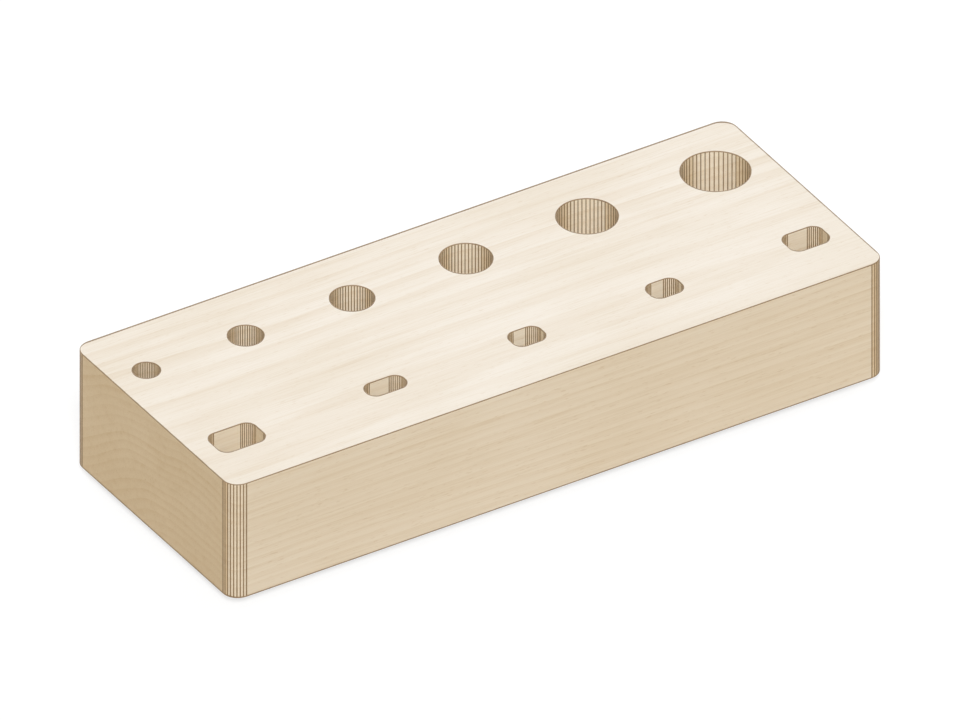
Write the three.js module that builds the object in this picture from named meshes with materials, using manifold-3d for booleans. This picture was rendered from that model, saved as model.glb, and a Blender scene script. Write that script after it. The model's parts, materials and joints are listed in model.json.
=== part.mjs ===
// Hobby tool stand: a one-piece hardwood block on four screw-on rubber feet. Its back row is round bores
// for round handles, and its front row is routed slots for flat ones.
// Millimetres. +X runs along the block to the widest bore, +Y to the back row, +Z up.
// The origin is on the table, under the middle of the block.

import * as THREE from "three";
import { mergeVertices } from "three/addons/utils/BufferGeometryUtils.js";
import Module from "manifold-3d";

// The block
const blockLength = 180;
const blockDepth = 70;
const blockHeight = 32;
const blockCornerRadius = 4;
const arris = 0.3; // every edge of the wood is eased by this much

// The handles that the stand holds, and what each socket adds to them
const thinnestRound = 6;
const roundStep = 2; // from one round handle to the next
const roundCount = 6;
const broadWidth = 12;
const broadThickness = 8;
const slimWidth = 10;
const slimThickness = 5;
const shortWidth = 8;
const shortThickness = 6;
const stoutWidth = 10;
const stoutThickness = 7;
const handleClearance = 0.5; // on the whole width, so that a handle drops in and lifts out

// The sockets
const rowCount = 2;
const endMargin = 6; // wood between the last socket of a row and the end of the block
const socketFloor = 4; // wood left under every socket
const slotCornerRadius = 2.5; // of the cutter that routes the slots
const borePointRadius = 1.2; // the dimple left by the bit's centre point
const borePointDepth = 0.8;

// The rubber feet
const footTopDiameter = 12;
const footBottomDiameter = 10.5;
const footHeight = 4;
const footEdgeRadius = 0.5;
const footRecessDepth = 1.5; // how far a foot is let into the underside
const footSideMargin = 5; // wood between a foot and the long side of the block
const footScrewLand = 3.5; // from the widest end socket to the middle of a foot's screw

// The washers and screws that hold the feet
const washerDiameter = 6.2;
const washerThickness = 0.6;
const washerSeatDepth = 2.6; // from a foot's lower face up to its seat for the washer
const screwLength = 12; // under the head
const screwShankDiameter = 2.8;
const screwPointLength = 2.5;
const screwHeadDiameter = 5.4;
const screwHeadHeight = 1.5;
const screwHeadFillet = 0.6;

// Clearances and counts
const fitGap = 0.3; // between a piece and the hole or recess that it sits in
const cutOverrun = 1; // how far a cutter runs past the face that it cuts
const boreFacets = 48;
const cornerFacets = 8; // to a quarter turn
const footFacets = 32;
const fastenerFacets = 24;
const edgeFacets = 3; // across a small rounded edge

const arcDivisions = cornerFacets / 2; // a shape's arc takes two facets to a division

// Places that follow from the sizes above
const undersideZ = footHeight - footRecessDepth;
const topZ = undersideZ + blockHeight;
const socketFloorZ = undersideZ + socketFloor;
const rowPitch = blockDepth / rowCount;
const frontRowY = -rowPitch / 2;
const backRowY = frontRowY + rowPitch;
const screwHoleRadius = screwShankDiameter / 2 + fitGap;
const screwTipZ = washerSeatDepth - washerThickness + screwLength;

const roundHandles = Array.from({ length: roundCount }, (_, i) => thinnestRound + i * roundStep);
const boreDiameters = roundHandles.map((diameter) => diameter + handleClearance);
const flatHandles = [
  [broadWidth, broadThickness],
  [slimWidth, slimThickness],
  [shortWidth, shortThickness],
  [shortWidth, shortThickness],
  [stoutWidth, stoutThickness],
];
const slotSizes = flatHandles.map((sides) => sides.map((side) => side + handleClearance));

const slotWidths = slotSizes.map(([width]) => width);
const endSockets = [boreDiameters, slotWidths].flatMap((row) => [row.at(0), row.at(-1)]);
const widestEndSocket = Math.max(...endSockets);
const footX = blockLength / 2 - endMargin - widestEndSocket - footScrewLand;
const footY = blockDepth / 2 - footSideMargin - footTopDiameter / 2;
const footCorners = [
  ["front_left", -footX, -footY],
  ["front_right", footX, -footY],
  ["back_left", -footX, footY],
  ["back_right", footX, footY],
];

const wasm = await Module();
wasm.setup();

// A closed geometry as a solid that can be cut.
function solidFrom(geometry) {
  geometry.deleteAttribute("normal");
  geometry.deleteAttribute("uv");
  const merged = mergeVertices(geometry);
  return new wasm.Manifold(
    new wasm.Mesh({
      numProp: 3,
      vertProperties: merged.attributes.position.array,
      triVerts: new Uint32Array(merged.index.array),
    }),
  );
}

// A cut solid as a geometry that can be drawn.
function geometryFrom(solid) {
  const mesh = solid.getMesh();
  const geometry = new THREE.BufferGeometry();
  geometry.setAttribute("position", new THREE.BufferAttribute(mesh.vertProperties, 3));
  geometry.setIndex(new THREE.BufferAttribute(mesh.triVerts, 1));
  geometry.computeVertexNormals();
  return geometry;
}

// A rectangle with round corners, about the origin.
function roundedRectangle(width, depth, radius) {
  const x = width / 2 - radius;
  const y = depth / 2 - radius;
  const quarter = Math.PI / 2;
  const shape = new THREE.Shape();
  shape.absarc(x, y, radius, 0, quarter);
  shape.absarc(-x, y, radius, quarter, 2 * quarter);
  shape.absarc(-x, -y, radius, 2 * quarter, 3 * quarter);
  shape.absarc(x, -y, radius, 3 * quarter, 4 * quarter);
  return shape;
}

// A solid whose outline is a rounded rectangle, let out by the offset of each [offset, height] level.
function levelled(width, depth, radius, levels) {
  const rings = levels.map(([offset, height]) =>
    roundedRectangle(width + 2 * offset, depth + 2 * offset, radius + offset)
      .getPoints(arcDivisions)
      .map(({ x, y }) => [x, y, height]),
  );
  const corners = rings[0].length;
  const faces = [];
  for (let start = 0; start < (rings.length - 1) * corners; start += corners) {
    for (let i = 0; i < corners; i++) {
      const here = start + i;
      const next = start + ((i + 1) % corners);
      faces.push(here, next, next + corners, here, next + corners, here + corners);
    }
  }
  const lid = (rings.length - 1) * corners;
  for (let i = 2; i < corners; i++) {
    faces.push(0, i, i - 1, lid, lid + i - 1, lid + i);
  }
  const geometry = new THREE.BufferGeometry();
  geometry.setAttribute("position", new THREE.Float32BufferAttribute(rings.flat(2), 3));
  geometry.setIndex(faces);
  return geometry;
}

// A profile of [radius, height] points turned about the Z axis.
function turned(profile, facets) {
  const points = profile.map(([radius, height]) => new THREE.Vector2(radius, height));
  return new THREE.LatheGeometry(points, facets).rotateX(Math.PI / 2);
}

// The points of a rounded lower edge, from the face below round to the side.
function roundedEdge(sideRadius, faceHeight, fillet) {
  return Array.from({ length: edgeFacets + 1 }, (_, i) => {
    const angle = (i / edgeFacets) * (Math.PI / 2);
    return [sideRadius - fillet * (1 - Math.sin(angle)), faceHeight + fillet * (1 - Math.cos(angle))];
  });
}

// Where a row's sockets lie along X: the end margins are equal, and so are the gaps between sockets.
function rowCentres(widths) {
  const taken = widths.reduce((sum, width) => sum + width, 0);
  const gap = (blockLength - 2 * endMargin - taken) / (widths.length - 1);
  let edge = endMargin - blockLength / 2;
  return widths.map((width) => {
    const centre = edge + width / 2;
    edge += width + gap;
    return centre;
  });
}

// The block before it is bored, with its edges eased above and below.
function blankBlock() {
  return solidFrom(
    levelled(blockLength, blockDepth, blockCornerRadius, [
      [-arris, undersideZ],
      [0, undersideZ + arris],
      [0, topZ - arris],
      [-arris, topZ],
    ]),
  );
}

// What is bored out for one round handle: a flat floor with the bit's centre point, and an eased mouth.
function boreCutter(diameter, x) {
  const radius = diameter / 2;
  return solidFrom(
    turned(
      [
        [0, socketFloorZ - borePointDepth],
        [borePointRadius, socketFloorZ],
        [radius, socketFloorZ],
        [radius, topZ - arris],
        [radius + arris, topZ],
        [radius + arris, topZ + cutOverrun],
        [0, topZ + cutOverrun],
      ],
      boreFacets,
    ).translate(x, backRowY, 0),
  );
}

// What is routed out for one flat handle: straight walls down to a flat floor, and an eased mouth.
function slotCutter([width, depth], x) {
  return solidFrom(
    levelled(width, depth, slotCornerRadius, [
      [0, socketFloorZ],
      [0, topZ - arris],
      [arris, topZ],
      [arris, topZ + cutOverrun],
    ]).translate(x, frontRowY, 0),
  );
}

// What is cut from the underside for one foot: the recess that it is let into, and its screw's hole.
function footCutter(x, y) {
  return solidFrom(
    turned(
      [
        [0, undersideZ - cutOverrun],
        [footTopDiameter / 2 + fitGap, undersideZ - cutOverrun],
        [footTopDiameter / 2 + fitGap, footHeight],
        [screwHoleRadius, footHeight],
        [screwHoleRadius, screwTipZ - screwPointLength],
        [0, screwTipZ + fitGap],
      ],
      footFacets,
    ).translate(x, y, 0),
  );
}

function blockGeometry() {
  let block = blankBlock();
  const boreXs = rowCentres(boreDiameters);
  boreDiameters.forEach((diameter, i) => {
    block = block.subtract(boreCutter(diameter, boreXs[i]));
  });
  const slotXs = rowCentres(slotWidths);
  slotSizes.forEach((size, i) => {
    block = block.subtract(slotCutter(size, slotXs[i]));
  });
  for (const [, x, y] of footCorners) {
    block = block.subtract(footCutter(x, y));
  }
  return geometryFrom(block);
}

// A tapered rubber foot, with a pocket below for the washer and the screw's head.
function footGeometry() {
  const pocketRadius = washerDiameter / 2 + fitGap;
  return turned(
    [
      [pocketRadius, 0],
      ...roundedEdge(footBottomDiameter / 2, 0, footEdgeRadius),
      [footTopDiameter / 2, footHeight],
      [screwHoleRadius, footHeight],
      [screwHoleRadius, washerSeatDepth],
      [pocketRadius, washerSeatDepth],
      [pocketRadius, 0],
    ],
    footFacets,
  );
}

function washerGeometry() {
  const lowerZ = washerSeatDepth - washerThickness;
  return turned(
    [
      [screwHoleRadius, lowerZ],
      [washerDiameter / 2, lowerZ],
      [washerDiameter / 2, washerSeatDepth],
      [screwHoleRadius, washerSeatDepth],
      [screwHoleRadius, lowerZ],
    ],
    fastenerFacets,
  );
}

// A pan-head wood screw, head down.
function screwGeometry() {
  const seatZ = washerSeatDepth - washerThickness;
  const headRadius = screwHeadDiameter / 2;
  const headZ = seatZ - screwHeadHeight;
  return turned(
    [
      [0, headZ],
      ...roundedEdge(headRadius, headZ, screwHeadFillet),
      [headRadius, seatZ],
      [screwShankDiameter / 2, seatZ],
      [screwShankDiameter / 2, screwTipZ - screwPointLength],
      [0, screwTipZ],
    ],
    fastenerFacets,
  );
}

const wood = () => new THREE.MeshStandardMaterial({ color: 0xe9dcc5, roughness: 0.6, metalness: 0 });
const rubber = () => new THREE.MeshStandardMaterial({ color: 0x2b2a29, roughness: 0.85, metalness: 0 });
const steel = () => new THREE.MeshStandardMaterial({ color: 0xb9bbbd, roughness: 0.35, metalness: 1 });

function piece(name, geometry, material, x = 0, y = 0) {
  const mesh = new THREE.Mesh(geometry, material);
  mesh.name = name;
  mesh.position.set(x, y, 0);
  return mesh;
}

const stand = new THREE.Group();
stand.add(piece("block", blockGeometry(), wood()));
for (const [corner, x, y] of footCorners) {
  stand.add(piece(`foot_${corner}`, footGeometry(), rubber(), x, y));
  stand.add(piece(`foot_washer_${corner}`, washerGeometry(), steel(), x, y));
  stand.add(piece(`foot_screw_${corner}`, screwGeometry(), steel(), x, y));
}

export default stand;
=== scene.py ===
# Hobby tool stand: a pale hardwood block, bored and slotted for handles, on four screw-on rubber feet.
import json
import math

import bmesh
import bpy
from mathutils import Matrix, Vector


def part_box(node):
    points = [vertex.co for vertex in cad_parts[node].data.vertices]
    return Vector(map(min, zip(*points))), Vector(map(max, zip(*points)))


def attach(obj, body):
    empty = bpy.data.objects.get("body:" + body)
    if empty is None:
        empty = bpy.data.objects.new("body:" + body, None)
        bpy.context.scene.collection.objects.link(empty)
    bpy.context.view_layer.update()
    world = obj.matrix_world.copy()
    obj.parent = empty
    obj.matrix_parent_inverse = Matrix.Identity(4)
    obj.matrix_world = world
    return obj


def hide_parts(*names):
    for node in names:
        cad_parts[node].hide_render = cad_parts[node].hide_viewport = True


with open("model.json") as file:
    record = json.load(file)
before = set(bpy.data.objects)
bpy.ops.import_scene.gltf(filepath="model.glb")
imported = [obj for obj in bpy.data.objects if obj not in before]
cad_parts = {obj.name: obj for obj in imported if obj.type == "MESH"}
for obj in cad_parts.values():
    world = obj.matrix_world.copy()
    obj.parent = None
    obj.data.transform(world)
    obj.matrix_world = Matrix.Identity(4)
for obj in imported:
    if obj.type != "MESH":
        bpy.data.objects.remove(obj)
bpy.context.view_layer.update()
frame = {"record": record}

MM = 0.001
TINY = 1e-6

# A face is flat if its normal rises or falls by more than the first of these, and a wall if by less than the
# second.
FLAT_NORMAL = 0.999
WALL_NORMAL = 0.5

# The block
BLOCK_LOW, BLOCK_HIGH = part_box("block")
BLOCK_SIZE = BLOCK_HIGH - BLOCK_LOW
BLOCK_CENTRE = (BLOCK_LOW + BLOCK_HIGH) / 2
UNDERSIDE = BLOCK_LOW.z
TOP = BLOCK_HIGH.z
CORNER_RADIUS = 4 * MM
CORNER_FACETS = 8
ARRIS = 0.2 * MM
ARRIS_STEPS = 3
MOUTH_BAND = 0.65 * MM
FOOT_BAND = 0.5 * MM

# The brown strips along the upright ridges. A mark is a strip's width where its ridge looks to the hands'
# side or straight away from it, and a widest share is of a facet's width. The flank share sets how far the
# strips widen in between.
OUTER_RIDGE_MARK = 0.29 * MM
OUTER_RIDGE_WIDEST_SHARE = 0.76
BORE_RIDGE_MARK = 0.24 * MM
BORE_RIDGE_WIDEST_SHARE = 0.50
SLOT_RIDGE_MARK = 0.25 * MM
SLOT_RIDGE_WIDEST_SHARE = 0.56
RIDGE_FLANK_SHARE = 0.45

# The sockets
ROUND_HANDLES = [diameter * MM for diameter in (6, 8, 10, 12, 14, 16)]
FLAT_HANDLES = [(width * MM, depth * MM) for width, depth in ((12, 8), (10, 5), (8, 6), (8, 6), (10, 7))]
HANDLE_PLAY = 0.5 * MM
SOCKET_FLOOR = 4 * MM
SOCKET_BOTTOM = UNDERSIDE + SOCKET_FLOOR
SLOT_CORNER_RADIUS = 2.5 * MM
BORE_FACETS = 48
BORE_POINT_RADIUS = 1.2 * MM
BORE_POINT_DEPTH = 0.8 * MM
OVERRUN = 1 * MM

# The feet, washers and screws, and what is let into the underside for them
CORNERS = ("front_left", "front_right", "back_left", "back_right")
FOOT_TOP_RADIUS = 6 * MM
FOOT_BOTTOM_RADIUS = 5.25 * MM
FOOT_HEIGHT = 4 * MM
FOOT_EDGE = 0.5 * MM
FOOT_LIP = 0.2 * MM
FIT_GAP = 0.3 * MM
WASHER_RADIUS = 3.1 * MM
WASHER_THICKNESS = 0.6 * MM
WASHER_EDGE = 0.1 * MM
WASHER_SEAT = 2.6 * MM
HEAD_SEAT = WASHER_SEAT - WASHER_THICKNESS
HEAD_RADIUS = 2.7 * MM
HEAD_HEIGHT = 1.5 * MM
HEAD_ROUNDING = 0.6 * MM
THREAD_RADIUS = 1.4 * MM
THREAD_ROOT_RADIUS = 1.05 * MM
THREAD_PITCH = 1.1 * MM
THREAD_TURNS = 11
THREAD_TOOTH = 0.6 * MM
THREAD_NECK = 0.2 * MM
THREAD_RISE = 1.5 * MM
SCREW_LENGTH = 12 * MM
SCREW_TIP = HEAD_SEAT + SCREW_LENGTH
SCREW_POINT = 2.5 * MM
DRIVE_LENGTH = 2.9 * MM
DRIVE_WIDTH = 0.7 * MM
DRIVE_DEPTH = 0.9 * MM
PILOT_RADIUS = THREAD_RADIUS + FIT_GAP
POCKET_RADIUS = WASHER_RADIUS + FIT_GAP
ROUND_SIDES = 64
THREAD_SIDES = 24
ROUNDING_STEPS = 6
SMOOTH_ANGLE = math.radians(35)
MERGE_GAP = 0.005 * MM

# The camera. In the picture the middle of the block lies a quarter of a pixel left of the frame's middle,
# and as far above it.
CAMERA_AZIMUTH = math.radians(-32)
CAMERA_ELEVATION = math.radians(34)
CAMERA_DISTANCE = 1.2
CAMERA_NEAR = 0.01
CAMERA_FAR = 20
PICTURE_WIDTH = 0.2239
PICTURE_PIXELS = 960
PICTURE_SHIFT_PIXELS = 0.25

# The light and the floor
KEY_AZIMUTH = math.radians(-30)
KEY_ELEVATION = math.radians(46)
KEY_STRENGTH = 2.48
KEY_ANGLE = math.radians(20)
FILL_AZIMUTH = math.radians(140)
FILL_ELEVATION = math.radians(25)
FILL_STRENGTH = 1.155
FILL_ANGLE = math.radians(60)
SKY_STRENGTH = 0.315
FLOOR_SIZE = 6.0
FLOOR_BOUNCE = 0.5
FLOOR_SHADE_SHARE = 0.35
FLOOR_GLOW = 0.70


# Modelling

def activate(piece):
    """Leaves edit mode, if need be, and selects the piece alone."""
    if bpy.context.object and bpy.context.object.mode != "OBJECT":
        bpy.ops.object.mode_set(mode="OBJECT")
    bpy.ops.object.select_all(action="DESELECT")
    piece.select_set(True)
    bpy.context.view_layer.objects.active = piece


def settled(piece):
    """Puts the piece's place and size into its mesh, so that its object sits at the origin."""
    activate(piece)
    bpy.ops.object.transform_apply(location=True, rotation=True, scale=True)
    return piece


def added(primitive, name, **how):
    """A new primitive, with its place and size in its mesh."""
    bpy.ops.object.select_all(action="DESELECT")
    primitive(**how)
    piece = bpy.context.object
    piece.name = piece.data.name = name
    return settled(piece)


def choose(piece, kind, wanted):
    """Goes into edit mode with the vertices, edges or faces selected that wanted says yes to."""
    activate(piece)
    bpy.ops.object.mode_set(mode="EDIT")
    bpy.ops.mesh.select_mode(type=kind)
    bpy.ops.mesh.select_all(action="DESELECT")
    mesh = bmesh.from_edit_mesh(piece.data)
    for element in {"VERT": mesh.verts, "EDGE": mesh.edges, "FACE": mesh.faces}[kind]:
        if wanted(element):
            element.select_set(True)
    mesh.select_flush_mode()
    bmesh.update_edit_mesh(piece.data)


def done(piece):
    """Ends the piece's turn in edit mode."""
    bpy.ops.object.mode_set(mode="OBJECT")
    return piece


def extrude(rise=0.0):
    bpy.ops.mesh.extrude_region_move(TRANSFORM_OT_translate={"value": (0, 0, rise)})


def is_upright(edge):
    run = edge.verts[0].co - edge.verts[1].co
    return abs(run.z) > TINY and run.xy.length < TINY


def is_wall(face):
    return abs(face.normal.z) < WALL_NORMAL


def looks_up(face):
    return face.normal.z > FLAT_NORMAL


def looks_down(face):
    return face.normal.z < -FLAT_NORMAL


def is_level(edge, height):
    return all(abs(vertex.co.z - height) < TINY for vertex in edge.verts)


def bevel_edges(piece, wanted, width, steps):
    choose(piece, "EDGE", wanted)
    bpy.ops.mesh.bevel(offset=width, segments=steps, affect="EDGES", loop_slide=False)
    return done(piece)


def joined(pieces):
    activate(pieces[0])
    for piece in pieces[1:]:
        piece.select_set(True)
    bpy.ops.object.join()
    return pieces[0]


def combine(piece, other, operation):
    """Cuts another solid out of the piece, or joins it to the piece, and removes the other."""
    activate(piece)
    modifier = piece.modifiers.new(operation.lower(), "BOOLEAN")
    modifier.operation = operation
    modifier.solver = "EXACT"
    modifier.object = other
    bpy.ops.object.modifier_apply(modifier=modifier.name)
    bpy.data.objects.remove(other)
    return piece


def turned(name, profile, sides):
    """A solid turned about Z: a ring that is extruded and resized from point to point of the profile."""
    (radius, height), *rest = profile
    piece = added(
        bpy.ops.mesh.primitive_circle_add, name, vertices=sides, radius=radius, location=(0, 0, height),
    )
    choose(piece, "EDGE", lambda edge: True)
    for next_radius, next_height in rest:
        extrude(next_height - height)
        share = next_radius / radius
        bpy.ops.transform.resize(value=(share, share, 1), center_override=(0, 0, next_height))
        radius, height = next_radius, next_height
    bpy.ops.mesh.select_all(action="SELECT")
    bpy.ops.mesh.remove_doubles(threshold=TINY)
    bpy.ops.mesh.select_all(action="SELECT")
    bpy.ops.mesh.fill_holes(sides=0)
    bpy.ops.mesh.select_all(action="SELECT")
    bpy.ops.mesh.normals_make_consistent(inside=False)
    return done(piece)


def quarter_round(radius, height, rounding):
    """The points of a rounded lower edge, from the face below round to the side."""
    points = []
    for step in range(ROUNDING_STEPS + 1):
        angle = math.pi / 2 * step / ROUNDING_STEPS
        points.append((radius - rounding * (1 - math.sin(angle)), height + rounding * (1 - math.cos(angle))))
    return points


def copied(piece, name, x, y):
    """A copy with its own mesh, moved along X and Y."""
    copy = piece.copy()
    copy.data = piece.data.copy()
    copy.name = copy.data.name = name
    bpy.context.scene.collection.objects.link(copy)
    copy.location = (x, y, 0)
    return settled(copy)


def dress(piece, node, slot):
    """The piece stands for a CAD node, which it hides, and hangs from the root body. The slot is not used.
    """
    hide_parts(node)
    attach(piece, "root")


# Shader maths

class Value:
    """A socket of a node, on which Python's operators work."""

    def __init__(self, graph, socket):
        self.graph = graph
        self.socket = socket

    def __add__(self, other):
        return self.graph.maths("ADD", self, other)

    def __sub__(self, other):
        return self.graph.maths("SUBTRACT", self, other)

    def __rsub__(self, other):
        return self.graph.maths("SUBTRACT", other, self)

    def __mul__(self, other):
        return self.graph.maths("MULTIPLY", self, other)

    def __truediv__(self, other):
        return self.graph.maths("DIVIDE", self, other)

    def __pow__(self, other):
        return self.graph.maths("POWER", self, other)

    __radd__ = __add__
    __rmul__ = __mul__


class Graph:
    """The nodes of one material or of the world."""

    def __init__(self, owner):
        owner.use_nodes = True
        self.owner = owner
        self.tree = owner.node_tree
        self.tree.nodes.clear()

    def node(self, kind, settings, inputs, output=0):
        """Adds a node, makes its settings, fills its sockets, and gives one of its outputs, if any."""
        made = self.tree.nodes.new(kind)
        for setting, value in settings.items():
            setattr(made, setting, value)
        for key, value in inputs.items():
            socket = made.inputs[key]
            if isinstance(value, Value):
                self.tree.links.new(value.socket, socket)
            elif socket.type == "RGBA":
                socket.default_value = (*value[:3], 1)
            else:
                socket.default_value = value
        return Value(self, made.outputs[output]) if made.outputs else None

    def maths(self, operation, *values):
        return self.node("ShaderNodeMath", {"operation": operation}, dict(enumerate(values)))

    def place(self):
        return self.node("ShaderNodeTexCoord", {}, {}, "Object")

    def noted(self, name, output="Fac"):
        """What the mesh keeps under a name."""
        return self.node("ShaderNodeAttribute", {"attribute_name": name}, {}, output)

    def split(self, vector):
        parts = self.node("ShaderNodeSeparateXYZ", {}, {0: vector})
        return [Value(self, socket) for socket in parts.socket.node.outputs]

    def scaled(self, vector, scale):
        return self.node("ShaderNodeVectorMath", {"operation": "SCALE"}, {0: vector, 3: scale})

    def summed(self, first, second):
        return self.node("ShaderNodeVectorMath", {"operation": "ADD"}, {0: first, 1: second})

    def noise(self, cells, detail, roughness):
        """Smooth noise from 0 to 1, mostly near a half, with cells of the given sizes along X, Y and Z."""
        scale = [1 / cell for cell in cells]
        vector = self.node("ShaderNodeVectorMath", {"operation": "MULTIPLY"}, {0: self.place(), 1: scale})
        inputs = {"Vector": vector, "Scale": 1.0, "Detail": detail, "Roughness": roughness}
        return self.node("ShaderNodeTexNoise", {}, inputs, "Fac")

    def eased(self, value, low, high):
        """0 below low, 1 above high, and smooth between."""
        settings = {"interpolation_type": "SMOOTHSTEP"}
        return self.node("ShaderNodeMapRange", settings, {0: value, 1: low, 2: high})

    def mixed(self, share, first, second, blend="MIX"):
        """One colour over another. The colours of a Mix node are its sockets 6 and 7, and its output 2."""
        settings = {"data_type": "RGBA", "blend_type": blend}
        return self.node("ShaderNodeMix", settings, {0: share, 6: first, 7: second}, 2)

    def bump(self, height, depth, strength):
        return self.node("ShaderNodeBump", {}, {"Height": height, "Distance": depth, "Strength": strength})

    def ended(self, shader):
        kind = "World" if isinstance(self.owner, bpy.types.World) else "Material"
        self.node(f"ShaderNodeOutput{kind}", {}, {"Surface": shader})
        return self.owner

    def surface(self, **inputs):
        """Ends the material in one surface shader: its sockets' names with low lines for spaces."""
        named = {key.replace("_", " "): value for key, value in inputs.items()}
        return self.ended(self.node("ShaderNodeBsdfPrincipled", {}, named))


# Finishes

# The growth rings lie round a pith below the block.
PITH_Y = -22 * MM
PITH_Z = -58 * MM
RING_PITCH = 2.3 * MM
RING_DRIFT = 9 * MM
LEAST_VIGOUR_SHARE = 0.4

# Each noise has its cells' sizes along X, Y and Z, its detail and its roughness.
RING_DRIFT_NOISE = ((210 * MM, 40 * MM, 40 * MM), 2, 0.5)
FIBRE_NOISE = ((16 * MM, 0.32 * MM, 0.32 * MM), 4, 0.65)
WORN_FIBRE_NOISE = ((16 * MM, 0.32 * MM, 0.32 * MM), 3, 0.6)
STREAK_NOISE = ((70 * MM, 2.2 * MM, 2.2 * MM), 3, 0.6)
FIGURE_NOISE = ((50 * MM, 26 * MM, 26 * MM), 2, 0.5)
FLECK_NOISE = ((2.6 * MM, 0.3 * MM, 0.3 * MM), 1, 0.5)
RUBBING_NOISE = ((5 * MM, 5 * MM, 2 * MM), 3, 0.6)
MOULD_NOISE = ((0.12 * MM, 0.12 * MM, 0.12 * MM), 2, 0.5)
DUST_NOISE = ((2.5 * MM, 2.5 * MM, 1.5 * MM), 4, 0.6)
BLOOM_NOISE = ((1.6 * MM, 1.6 * MM, 1.6 * MM), 3, 0.6)
PRESS_NOISE = ((0.08 * MM, 0.08 * MM, 0.6 * MM), 2, 0.5)
NOISE_MIDDLE = 0.5

# Each ramp runs from where it starts to where it is full.
LATEWOOD_RISE = (0.25, 0.92)
LATEWOOD_FALL = (0.94, 1.0)
UPPER_RAMP = (0.45, 0.75)
WIDE_RAMP = (0.3, 0.7)
RUBBING_RAMP = (0.35, 0.7)
FLECK_RAMP = (0.66, 0.74)

# How the borders of the edge lines wander and soften, in millimetres
LINE_WANDER = 0.15
LINE_RAMP = (-0.03, 0.03)

# The wood's tones where it is cut flat, along its sides and across its end grain, each partly painted light
# and shade
# Outside: the grain's own tones with painted shade, paler on top and deeper on the faces turned from the
# light
OILED_TONES_AND_SHADE = ((0.864, 0.797, 0.704), (0.825, 0.699, 0.528), (0.784, 0.607, 0.381))
# In the sockets: painted lighter, standing in for the light that the sockets' own shade takes away
SOCKET_PAINTED_LIGHT_TONES = ((0.93, 0.87, 0.78), (0.965, 0.87, 0.71), (0.895, 0.765, 0.56))
# The edge lines' brown: painted darker on top and lighter on the faces turned from the light, so that the
# light evens it out
RUBBED_TONES_WITH_PAINTED_LIGHT = ((0.295, 0.203, 0.115), (0.350, 0.241, 0.138), (0.430, 0.296, 0.168))

# What those tones are multiplied by, and how far
LATEWOOD_TINT = (0.93, 0.89, 0.83)
FIBRE_TINT = (0.93, 0.90, 0.85)
FLECK_TINT = (0.86, 0.79, 0.70)
FIGURE_TINT = (0.96, 0.945, 0.915)
RUBBING_TINT = (0.86, 0.83, 0.80)
BURNISHED_TINT = (0.83, 0.775, 0.675)
RING_SHARE = 0.75
STREAK_SHARE = 0.5
FLECK_SHARE = 0.6
WORN_FIBRE_SHARE = 0.6

# The wood's gloss, roughness and relief
WOOD_GLOSS = 0.35
WOOD_ROUGHNESS = 0.5
BURNISHED_ROUGHNESS = 0.4
FIBRE_ROUGHNESS = 0.16
RING_ROUGHNESS = 0.05
EDGE_POLISH = 0.1
FIBRE_RELIEF_SHARE = 0.7
RING_RELIEF_SHARE = 0.3
FLECK_RELIEF_SHARE = 0.5
WOOD_RELIEF = 0.03 * MM
WOOD_RELIEF_STRENGTH = 0.6
BURNISHED_RELIEF = 0.02 * MM
BURNISHED_RELIEF_STRENGTH = 0.5

# The rubber
RUBBER_BLACK = (0.022, 0.021, 0.020)
DUST_GREY = (0.060, 0.056, 0.050)
DUST_SHARE = 0.5
RUBBER_ROUGHNESS = 0.68
DUST_ROUGHNESS = 0.1
MOULD_ROUGHNESS = 0.1
MOULD_RELIEF = 0.02 * MM
MOULD_RELIEF_STRENGTH = 0.7

# The zinc plate
ZINC_BLUE = (0.56, 0.59, 0.63)
ZINC_STRAW = (0.66, 0.64, 0.57)
ZINC_ROUGHNESS = 0.2
BLOOM_ROUGHNESS = 0.15
PRESS_ROUGHNESS = 0.12
PRESS_RELIEF = 0.008 * MM
PRESS_RELIEF_STRENGTH = 0.5


def tones_and_shade_by_facing(graph, tones):
    """A colour for each way that the wood is cut: flat, along its long sides, and across its end grain. The
    tones also hold painted light and shade for how light falls on each way of facing.
    """
    ends, sides, flats = graph.split(graph.noted("facing", "Vector"))
    flat, side, end = (graph.scaled(tone, share) for tone, share in zip(tones, (flats, sides, ends)))
    return graph.summed(graph.summed(flat, side), end)


def rubbed_brown(graph):
    """The brown that a cutter leaves where its edge has rubbed the wood."""
    rubbing = graph.eased(graph.noise(*RUBBING_NOISE), *RUBBING_RAMP)
    fibres = graph.eased(graph.noise(*WORN_FIBRE_NOISE), *UPPER_RAMP)
    # Its tone by facing is painted light: darker on top and lighter on the faces turned from the light, so
    # the line looks even
    brown = graph.mixed(rubbing, tones_and_shade_by_facing(graph, RUBBED_TONES_WITH_PAINTED_LIGHT), RUBBING_TINT, "MULTIPLY")
    return graph.mixed(fibres * WORN_FIBRE_SHARE, brown, RUBBING_TINT, "MULTIPLY")


def growth_rings(graph):
    """0 in the pale spring wood, and up to 1 in the late wood that closes each year."""
    across, up = graph.split(graph.place())[1:]
    drift = (graph.noise(*RING_DRIFT_NOISE) - NOISE_MIDDLE) * RING_DRIFT
    from_pith = ((across - PITH_Y) ** 2 + (up - PITH_Z) ** 2) ** 0.5 + drift
    years = from_pith / RING_PITCH
    season = graph.maths("FRACT", years)
    year = graph.maths("FLOOR", years)
    vigour = graph.node("ShaderNodeTexWhiteNoise", {"noise_dimensions": "1D"}, {"W": year}, "Value")
    late = graph.eased(season, *LATEWOOD_RISE) * (1 - graph.eased(season, *LATEWOOD_FALL))
    return late * (vigour * (1 - LEAST_VIGOUR_SHARE) + LEAST_VIGOUR_SHARE)


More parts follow.
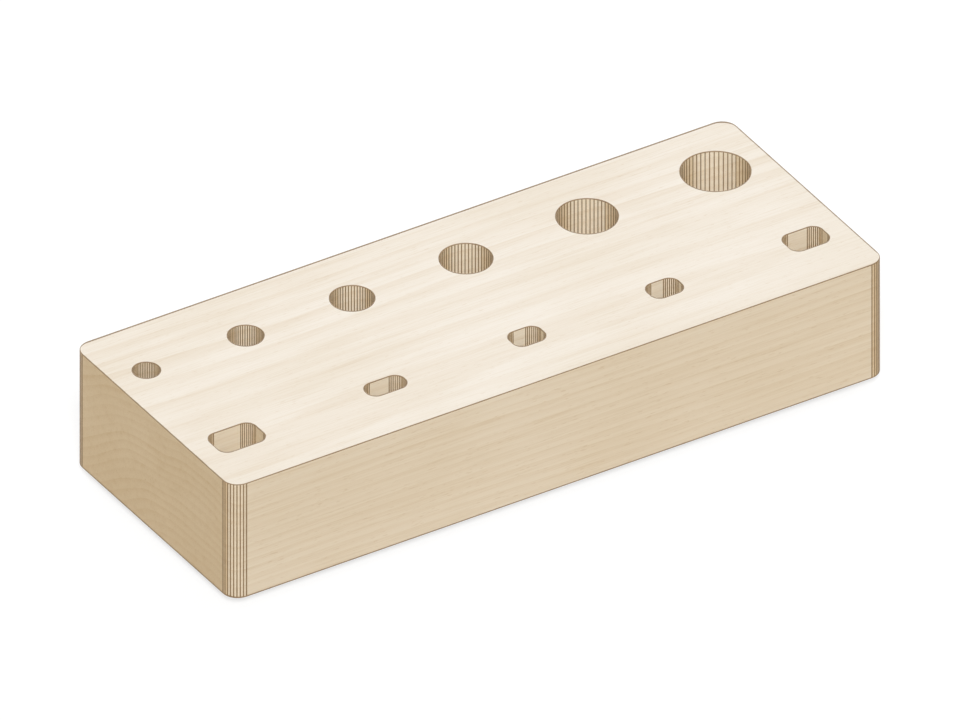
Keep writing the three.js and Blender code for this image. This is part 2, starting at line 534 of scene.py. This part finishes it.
def hardwood():
    """Pale close-grained wood: sanded and oiled outside, rubbed brown at its edges. Its tones differ by
    facing as painted shade, and are painted lighter in the sockets to stand in for the light that their
    shade takes away.
    """
    graph = Graph(bpy.data.materials.new("pale_hardwood"))
    fibres = graph.noise(*FIBRE_NOISE)
    streaks = graph.noise(*STREAK_NOISE)
    figure = graph.noise(*FIGURE_NOISE)
    flecks = graph.eased(graph.noise(*FLECK_NOISE), *FLECK_RAMP)
    rings = growth_rings(graph)
    # The tones by facing hold painted shade, and the sockets' tones are painted lighter in place of light
    outside_tone_shaded, socket_tone_lightened = tones_and_shade_by_facing(graph, OILED_TONES_AND_SHADE), tones_and_shade_by_facing(graph, SOCKET_PAINTED_LIGHT_TONES)
    colour = graph.mixed(graph.noted("painted_socket_light"), outside_tone_shaded, socket_tone_lightened)
    colour = graph.mixed(graph.eased(figure, *WIDE_RAMP), colour, FIGURE_TINT, "MULTIPLY")
    colour = graph.mixed(rings * RING_SHARE, colour, LATEWOOD_TINT, "MULTIPLY")
    colour = graph.mixed(graph.eased(streaks, *UPPER_RAMP) * STREAK_SHARE, colour, LATEWOOD_TINT, "MULTIPLY")
    colour = graph.mixed(graph.eased(fibres, *UPPER_RAMP), colour, FIBRE_TINT, "MULTIPLY")
    colour = graph.mixed(flecks * FLECK_SHARE, colour, FLECK_TINT, "MULTIPLY")
    edge = graph.eased(graph.noted("rubbing") / MM + (streaks - NOISE_MIDDLE) * LINE_WANDER, *LINE_RAMP)
    relief = fibres * FIBRE_RELIEF_SHARE + rings * RING_RELIEF_SHARE - flecks * FLECK_RELIEF_SHARE
    roughness = fibres * FIBRE_ROUGHNESS + rings * RING_ROUGHNESS - edge * EDGE_POLISH + WOOD_ROUGHNESS
    return graph.surface(
        Base_Color=graph.mixed(edge, colour, rubbed_brown(graph)),
        Roughness=roughness,
        Specular_IOR_Level=WOOD_GLOSS,
        Normal=graph.bump(relief, WOOD_RELIEF, WOOD_RELIEF_STRENGTH),
    )


def burnished():
    """The strips along the ridges: a little darker and browner than the edge lines."""
    graph = Graph(bpy.data.materials.new("burnished_hardwood"))
    fibres = graph.noise(*FIBRE_NOISE)
    return graph.surface(
        Base_Color=graph.mixed(1.0, rubbed_brown(graph), BURNISHED_TINT, "MULTIPLY"),
        Roughness=fibres * FIBRE_ROUGHNESS + BURNISHED_ROUGHNESS,
        Specular_IOR_Level=WOOD_GLOSS,
        Normal=graph.bump(fibres, BURNISHED_RELIEF, BURNISHED_RELIEF_STRENGTH),
    )


def rubber():
    """Moulded black rubber: matt, a little dusty, with the fine texture of its mould."""
    graph = Graph(bpy.data.materials.new("moulded_rubber"))
    mould = graph.noise(*MOULD_NOISE)
    dust = graph.eased(graph.noise(*DUST_NOISE), *UPPER_RAMP)
    return graph.surface(
        Base_Color=graph.mixed(dust * DUST_SHARE, RUBBER_BLACK, DUST_GREY),
        Roughness=dust * DUST_ROUGHNESS + mould * MOULD_ROUGHNESS + RUBBER_ROUGHNESS,
        Normal=graph.bump(mould, MOULD_RELIEF, MOULD_RELIEF_STRENGTH),
    )


def zinc():
    """Zinc plate: cool grey, with a faint blue and straw bloom and fine marks from the press."""
    graph = Graph(bpy.data.materials.new("zinc_plate"))
    bloom = graph.noise(*BLOOM_NOISE)
    marks = graph.noise(*PRESS_NOISE)
    return graph.surface(
        Base_Color=graph.mixed(graph.eased(bloom, *WIDE_RAMP), ZINC_BLUE, ZINC_STRAW),
        Metallic=1.0,
        Roughness=bloom * BLOOM_ROUGHNESS + marks * PRESS_ROUGHNESS + ZINC_ROUGHNESS,
        Normal=graph.bump(marks, PRESS_RELIEF, PRESS_RELIEF_STRENGTH),
    )


# The block

class Outline:
    """A rectangle with round corners, seen from above. A bore's is all corner."""

    def __init__(self, centre, width, depth, radius):
        self.centre = centre
        self.width = width
        self.depth = depth
        self.radius = radius

    def past_core(self, place):
        """How far a place lies past the straight-sided core of the outline, along X and along Y."""
        away = place - self.centre
        return Vector((
            abs(away.x) - self.width / 2 + self.radius,
            abs(away.y) - self.depth / 2 + self.radius,
        ))

    def reach(self, place):
        """How far a place lies outside the outline, or inside it if below zero."""
        past = self.past_core(place)
        return math.hypot(max(past.x, 0), max(past.y, 0)) + min(max(past.x, past.y), 0) - self.radius

    def outward(self, place):
        """Which way the outline faces where it comes nearest to a place, as a unit vector."""
        away = place - self.centre
        past = self.past_core(place)
        if min(past.x, past.y) <= 0:
            past = Vector((1, 0)) if past.x > past.y else Vector((0, 1))
        return Vector((math.copysign(past.x, away.x), math.copysign(past.y, away.y))).normalized()


def socket_centres(kind):
    """Where the record's openings of a kind lie."""
    openings = frame["record"]["physics"]["openings"]
    boxes = [opening["box_m"] for opening in openings if opening["name"].startswith(kind)]
    return [(Vector(low) + Vector(high)) / 2 for low, high in boxes]


def bore_outline(handle, centre):
    diameter = handle + HANDLE_PLAY
    return Outline(centre, diameter, diameter, diameter / 2)


def slot_outline(handle, centre):
    width, depth = (side + HANDLE_PLAY for side in handle)
    return Outline(centre, width, depth, SLOT_CORNER_RADIUS)


BLOCK_OUTLINE = Outline(BLOCK_CENTRE, BLOCK_SIZE.x, BLOCK_SIZE.y, CORNER_RADIUS)
BORES = [bore_outline(*socket) for socket in zip(ROUND_HANDLES, socket_centres("bore"))]
SLOTS = [slot_outline(*socket) for socket in zip(FLAT_HANDLES, socket_centres("slot"))]

# The deeper end-grain tone is turned to the key light's side, so that it starts sooner on the facets that
# look to the right of the front,
# and later on those that look to its left: painted shade on the facets turned from the key light, besides
# the end grain's own tone.
END_GRAIN_AND_SHADE_LEAN = math.radians(-32)
END_GRAIN_AND_SHADE_WAY = Vector((math.cos(END_GRAIN_AND_SHADE_LEAN), math.sin(END_GRAIN_AND_SHADE_LEAN), 0))
END_GRAIN_AND_SHADE_STARTS_SHARE = 0.29
END_GRAIN_AND_SHADE_FULL_SHARE = 0.40

# Hands reach over the block from its front left. The edges that look that way are rubbed clean but for
# their own rounding, and those that look the other way keep a wider brown line on the flat beside them. The
# upright ridges that look to either side of that way keep a wider brown strip.
HAND_AZIMUTH = math.radians(-32)
HAND_SIDE = Vector((math.sin(HAND_AZIMUTH), -math.cos(HAND_AZIMUTH)))

# The brown lines along the level edges: how far they reach past the rounding of an upper edge that looks
# away from the hands, how far they reach up from the underside, and what stands for no line
RIM_LINE_AWAY = 0.56 * MM
MOUTH_LINE_AWAY = 0.32 * MM
LINE_AWAY_POWER = 1.5
LINE_BELOW = 0.42 * MM
LINE_BELOW_ENDS = 0.16 * MM
LINE_NONE = -1 * MM


def mark_ridges(piece, finishes, outline, facets, mark, widest_share):
    """Gives the piece its two woods, with the brown one in a narrow strip along every upright ridge."""
    for finish in finishes:
        piece.data.materials.append(finish)
    facet = 2 * outline.radius * math.sin(math.pi / facets)
    widest = facet * widest_share
    choose(piece, "EDGE", is_upright)
    mesh = bmesh.from_edit_mesh(piece.data)
    weight = mesh.edges.layers.float.new("bevel_weight_edge")
    for edge in mesh.edges:
        if edge.select:
            facing = abs(outline.outward(edge.verts[0].co).dot(HAND_SIDE))
            edge[weight] = min(mark / max(facing, RIDGE_FLANK_SHARE) / widest, 1)
    done(piece)
    strips = piece.modifiers.new("strips", "BEVEL")
    strips.limit_method = "WEIGHT"
    strips.width = widest / 2
    strips.segments = 1
    strips.material = 1
    bpy.ops.object.modifier_apply(modifier=strips.name)


def rounded_box(name, outline, low, high):
    """An upright prism on an outline."""
    piece = added(
        bpy.ops.mesh.primitive_cube_add, name, size=1, scale=(outline.width, outline.depth, high - low),
        location=(outline.centre.x, outline.centre.y, (low + high) / 2),
    )
    return bevel_edges(piece, is_upright, outline.radius, CORNER_FACETS)


def bore_cutter(outline):
    """A drill that leaves a flat floor with the dimple of its centre point."""
    height = TOP + OVERRUN - SOCKET_BOTTOM
    cutter = added(
        bpy.ops.mesh.primitive_cylinder_add, "bore_cutter",
        vertices=BORE_FACETS, radius=outline.radius, depth=height,
        location=(outline.centre.x, outline.centre.y, SOCKET_BOTTOM + height / 2),
    )
    choose(cutter, "FACE", looks_down)
    extrude()
    share = BORE_POINT_RADIUS / outline.radius
    floor_centre = (outline.centre.x, outline.centre.y, SOCKET_BOTTOM)
    bpy.ops.transform.resize(value=(share, share, 1), center_override=floor_centre)
    extrude(-BORE_POINT_DEPTH)
    bpy.ops.mesh.merge(type="CENTER")
    return done(cutter)


def foot_centre(corner):
    low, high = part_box(f"foot_{corner}")
    return (low + high) / 2


def foot_cutter(centre):
    """What is let into the underside for one foot and its screw."""
    profile = [
        (FOOT_TOP_RADIUS + FIT_GAP, UNDERSIDE - OVERRUN),
        (FOOT_TOP_RADIUS + FIT_GAP, FOOT_HEIGHT),
        (PILOT_RADIUS, FOOT_HEIGHT),
        (PILOT_RADIUS, SCREW_TIP - SCREW_POINT),
        (0, SCREW_TIP + FIT_GAP),
    ]
    cutter = turned("foot_cutter", profile, ROUND_SIDES)
    cutter.location = (centre.x, centre.y, 0)
    return settled(cutter)


def is_outer(place):
    """Whether a place lies on the outer wall of the block or on the rounding of its edge."""
    return BLOCK_OUTLINE.reach(place) > -ARRIS - TINY


def is_mouth(edge):
    """An edge between the flat top and the wall of a socket or of the block."""
    return is_level(edge, TOP) and any(is_wall(face) for face in edge.link_faces)


def is_lower_rim(edge):
    """An edge between the underside and the outer wall."""
    outer = is_level(edge, UNDERSIDE) and is_outer(edge.verts[0].co)
    return outer and any(is_wall(face) for face in edge.link_faces)


def is_top(face):
    return looks_up(face) and abs(face.calc_center_median().z - TOP) < TINY


def ease_edges(block):
    """Rounds every mouth and rim a little, and parts off the bands beside them where the edge lines lie."""
    bevel_edges(block, lambda edge: is_mouth(edge) or is_lower_rim(edge), ARRIS, ARRIS_STEPS)
    choose(block, "FACE", is_top)
    bpy.ops.mesh.inset(thickness=MOUTH_BAND)
    choose(block, "FACE", lambda face: is_wall(face) and is_outer(face.verts[0].co))
    bpy.ops.mesh.bisect(plane_co=(0, 0, UNDERSIDE + ARRIS + FOOT_BAND), plane_no=(0, 0, 1))
    done(block)


def line_width(facing, away):
    """The width seen from above, from how far an edge looks to the hands' side, 1 to -1."""
    return ARRIS + away * max(-facing, 0) ** LINE_AWAY_POWER


def upper_rubbing(place):
    """How far inside the line of the nearest upper edge a place lies, or outside it if below zero."""
    edges = [(-BLOCK_OUTLINE.reach(place), BLOCK_OUTLINE.outward(place), RIM_LINE_AWAY)]
    edges += [(socket.reach(place), -socket.outward(place), MOUTH_LINE_AWAY) for socket in BORES + SLOTS]
    distance, facing, away = min(edges, key=lambda edge: edge[0])
    return line_width(facing.dot(HAND_SIDE), away) - distance


def lower_rubbing(place):
    """How far inside the line round the foot of the block a place lies. It is wider across the end grain."""
    width = LINE_BELOW + LINE_BELOW_ENDS * abs(BLOCK_OUTLINE.outward(place).x)
    return width - (place.z - UNDERSIDE)


def rubbing_at_corners(mesh):
    """How far each corner of each face lies inside an edge line."""
    for face in mesh.polygons:
        places = [mesh.vertices[vertex].co for vertex in face.vertices]
        low, high = min(place.z for place in places), max(place.z for place in places)
        in_foot_band = high < UNDERSIDE + ARRIS + FOOT_BAND + TINY
        if low > TOP - ARRIS - TINY:
            yield from map(upper_rubbing, places)
        elif in_foot_band and not looks_down(face) and is_outer(places[0]):
            yield from map(lower_rubbing, places)
        else:
            yield from [LINE_NONE] * len(places)


def facing_of(face):
    """How the wood is cut at a face, and where shade is painted on it, as shares: across its end grain or
    turned from the key light, along its sides, and flat.
    """
    up = face.normal.z ** 2
    crossing = face.normal.dot(END_GRAIN_AND_SHADE_WAY) ** 2 / max(1 - up, TINY)
    run = END_GRAIN_AND_SHADE_FULL_SHARE - END_GRAIN_AND_SHADE_STARTS_SHARE
    end = min(max((crossing - END_GRAIN_AND_SHADE_STARTS_SHARE) / run, 0), 1)
    return [end * (1 - up), (1 - end) * (1 - up), up]


def painted_socket_light_of(face):
    """1 inside a socket, where the wood is painted lighter to stand in for light, 0 elsewhere."""
    nearest = min(socket.reach(face.center) for socket in BORES + SLOTS)
    return float(nearest < ARRIS and face.center.z < TOP - ARRIS)


def keep(mesh, name, kind, domain, values):
    """Keeps numbers under a name on the mesh, for the materials to read."""
    attribute = mesh.attributes.new(name, kind, domain)
    attribute.data.foreach_set("vector" if kind == "FLOAT_VECTOR" else "value", values)


def make_block(*finishes):
    """The cutters bring the two woods with them, so that a socket gets its strips as it is cut."""
    round_facets = 4 * CORNER_FACETS
    block = rounded_box("bored_block", BLOCK_OUTLINE, UNDERSIDE, TOP)
    mark_ridges(block, finishes, BLOCK_OUTLINE, round_facets, OUTER_RIDGE_MARK, OUTER_RIDGE_WIDEST_SHARE)
    cutters = []
    for bore in BORES:
        cutters.append(bore_cutter(bore))
        mark_ridges(cutters[-1], finishes, bore, BORE_FACETS, BORE_RIDGE_MARK, BORE_RIDGE_WIDEST_SHARE)
    for slot in SLOTS:
        cutters.append(rounded_box("slot_cutter", slot, SOCKET_BOTTOM, TOP + OVERRUN))
        mark_ridges(cutters[-1], finishes, slot, round_facets, SLOT_RIDGE_MARK, SLOT_RIDGE_WIDEST_SHARE)
    cutters += [foot_cutter(foot_centre(corner)) for corner in CORNERS]
    combine(block, joined(cutters), "DIFFERENCE")
    ease_edges(block)
    mesh = block.data
    # The facings carry painted shade by how each face is turned, and the socket mask marks where the wood is
    # painted lighter
    facings = [share for face in mesh.polygons for share in facing_of(face)]
    keep(mesh, "facing", "FLOAT_VECTOR", "FACE", facings)
    keep(mesh, "painted_socket_light", "FLOAT", "FACE", [painted_socket_light_of(face) for face in mesh.polygons])
    keep(mesh, "rubbing", "FLOAT", "CORNER", list(rubbing_at_corners(mesh)))
    dress(block, "block", "hardwood")


# The feet and what holds them

def make_foot():
    """A tapered foot with a pocket below for the washer and the screw's head."""
    profile = [
        (POCKET_RADIUS, FOOT_LIP),
        (POCKET_RADIUS + FOOT_LIP, 0),
        *quarter_round(FOOT_BOTTOM_RADIUS, 0, FOOT_EDGE),
        (FOOT_TOP_RADIUS, FOOT_HEIGHT - FOOT_LIP),
        (FOOT_TOP_RADIUS - FOOT_LIP, FOOT_HEIGHT),
        (PILOT_RADIUS, FOOT_HEIGHT),
        (PILOT_RADIUS, WASHER_SEAT),
        (POCKET_RADIUS, WASHER_SEAT),
        (POCKET_RADIUS, FOOT_LIP),
    ]
    return turned("foot", profile, ROUND_SIDES)


def make_washer():
    """A pressed washer with its edges broken."""
    inner, outer = PILOT_RADIUS, WASHER_RADIUS
    low, high = HEAD_SEAT, WASHER_SEAT
    profile = [
        (inner, low + WASHER_EDGE),
        (inner + WASHER_EDGE, low),
        (outer - WASHER_EDGE, low),
        (outer, low + WASHER_EDGE),
        (outer, high - WASHER_EDGE),
        (outer - WASHER_EDGE, high),
        (inner + WASHER_EDGE, high),
        (inner, high - WASHER_EDGE),
        (inner, low + WASHER_EDGE),
    ]
    return turned("foot_washer", profile, ROUND_SIDES)


def make_thread():
    """A wood screw's thread: one tooth, wound up round the axis, from a plain neck to a point."""
    tooth_centre = THREAD_RADIUS - THREAD_TOOTH
    thread = added(
        bpy.ops.mesh.primitive_circle_add, "thread", vertices=3, radius=THREAD_TOOTH,
        location=(tooth_centre, 0, HEAD_SEAT - THREAD_TOOTH), rotation=(math.pi / 2, math.pi / 2, 0),
    )
    winding = thread.modifiers.new("winding", "SCREW")
    winding.screw_offset = THREAD_PITCH
    winding.iterations = THREAD_TURNS
    winding.steps = winding.render_steps = THREAD_SIDES
    bpy.ops.object.modifier_apply(modifier=winding.name)
    choose(thread, "VERT", lambda vertex: True)
    bpy.ops.mesh.fill_holes(sides=0)
    bpy.ops.mesh.select_all(action="SELECT")
    bpy.ops.mesh.normals_make_consistent(inside=False)
    done(thread)
    neck = HEAD_SEAT + THREAD_NECK
    taper = SCREW_POINT * PILOT_RADIUS / THREAD_RADIUS
    reach = [
        (tooth_centre, neck),
        (PILOT_RADIUS, neck + THREAD_RISE),
        (PILOT_RADIUS, SCREW_TIP - taper),
        (0, SCREW_TIP),
    ]
    return combine(thread, turned("reach", reach, ROUND_SIDES), "INTERSECT")


def make_screw():
    """A pan-head wood screw, head down, with a cross recess."""
    head_face = HEAD_SEAT - HEAD_HEIGHT
    profile = [
        *quarter_round(HEAD_RADIUS, head_face, HEAD_ROUNDING),
        (HEAD_RADIUS, HEAD_SEAT),
        (THREAD_ROOT_RADIUS, HEAD_SEAT),
        (THREAD_ROOT_RADIUS, SCREW_TIP - SCREW_POINT),
        (0, SCREW_TIP),
    ]
    screw = turned("foot_screw", profile, ROUND_SIDES)
    combine(screw, make_thread(), "UNION")
    for size in ((DRIVE_LENGTH, DRIVE_WIDTH), (DRIVE_WIDTH, DRIVE_LENGTH)):
        blade = added(
            bpy.ops.mesh.primitive_cube_add, "driver", size=1, scale=(*size, 2 * DRIVE_DEPTH),
            location=(0, 0, head_face),
        )
        combine(screw, blade, "DIFFERENCE")
    choose(screw, "VERT", lambda vertex: True)
    bpy.ops.mesh.remove_doubles(threshold=MERGE_GAP)
    bpy.ops.mesh.dissolve_degenerate(threshold=MERGE_GAP)
    return done(screw)


def make_fixings(rubber_finish, zinc_finish):
    """Each foot, washer and screw is modelled once, and copied to the four corners."""
    for make, name, node, slot, finish in (
        (make_foot, "moulded_foot", "foot", "rubber", rubber_finish),
        (make_washer, "pressed_washer", "foot_washer", "steel", zinc_finish),
        (make_screw, "threaded_screw", "foot_screw", "steel", zinc_finish),
    ):
        pattern = make()
        activate(pattern)
        bpy.ops.object.shade_smooth_by_angle(angle=SMOOTH_ANGLE)
        pattern.data.materials.append(finish)
        for corner in CORNERS:
            centre = foot_centre(corner)
            dress(copied(pattern, f"{name}_{corner}", centre.x, centre.y), f"{node}_{corner}", slot)
        bpy.data.objects.remove(pattern)


# The studio

def aimed(piece, azimuth, elevation, distance):
    """Turns a camera or a lamp to look at the block's middle from the given side and height."""
    back = Vector((
        math.sin(azimuth) * math.cos(elevation),
        -math.cos(azimuth) * math.cos(elevation),
        math.sin(elevation),
    ))
    piece.location = BLOCK_CENTRE + back * distance
    piece.rotation_euler = (math.pi / 2 - elevation, 0, azimuth)


def make_camera():
    data = bpy.data.cameras.new("camera")
    data.type = "ORTHO"
    data.ortho_scale = PICTURE_WIDTH
    data.shift_x = PICTURE_SHIFT_PIXELS / PICTURE_PIXELS
    data.shift_y = -PICTURE_SHIFT_PIXELS / PICTURE_PIXELS
    data.clip_start = CAMERA_NEAR
    data.clip_end = CAMERA_FAR
    camera = bpy.data.objects.new("camera", data)
    bpy.context.scene.collection.objects.link(camera)
    aimed(camera, CAMERA_AZIMUTH, CAMERA_ELEVATION, CAMERA_DISTANCE)
    bpy.context.scene.camera = camera


def make_lamp(name, azimuth, elevation, strength, angle):
    data = bpy.data.lights.new(name, "SUN")
    data.energy = strength
    data.angle = angle
    lamp = bpy.data.objects.new(name, data)
    bpy.context.scene.collection.objects.link(lamp)
    aimed(lamp, azimuth, elevation, CAMERA_DISTANCE)


def seen_directly(graph):
    """1 for the rays that show the surroundings, straight or mirrored, and 0 for those that light."""
    camera, glossy, transmission = (
        graph.node("ShaderNodeLightPath", {}, {}, f"Is {kind} Ray")
        for kind in ("Camera", "Glossy", "Transmission")
    )
    return graph.maths("MINIMUM", camera + glossy + transmission, 1.0)


def make_sky():
    world = bpy.data.worlds.new("studio")
    bpy.context.scene.world = world
    graph = Graph(world)
    strength = seen_directly(graph) * (1 - SKY_STRENGTH) + SKY_STRENGTH
    graph.ended(graph.node("ShaderNodeBackground", {}, {"Color": (1, 1, 1), "Strength": strength}))


def make_floor():
    """A plain floor that looks white, keeps a soft shadow, and throws a little light back."""
    floor = added(bpy.ops.mesh.primitive_plane_add, "studio_floor", size=FLOOR_SIZE)
    graph = Graph(bpy.data.materials.new("floor_paper"))
    bounce = graph.node("ShaderNodeBsdfDiffuse", {}, {"Color": [FLOOR_BOUNCE] * 3})
    shade = graph.node("ShaderNodeBsdfDiffuse", {}, {"Color": [FLOOR_SHADE_SHARE] * 3})
    glow = graph.node("ShaderNodeEmission", {}, {"Color": (1, 1, 1), "Strength": FLOOR_GLOW})
    paper = graph.node("ShaderNodeAddShader", {}, {0: shade, 1: glow})
    floor.data.materials.append(
        graph.ended(graph.node("ShaderNodeMixShader", {}, {0: seen_directly(graph), 1: bounce, 2: paper}))
    )


make_camera()
make_block(hardwood(), burnished())
make_fixings(rubber(), zinc())
make_floor()
make_sky()
make_lamp("key", KEY_AZIMUTH, KEY_ELEVATION, KEY_STRENGTH, KEY_ANGLE)
make_lamp("fill", FILL_AZIMUTH, FILL_ELEVATION, FILL_STRENGTH, FILL_ANGLE)
bpy.context.scene.view_settings.view_transform = "Standard"
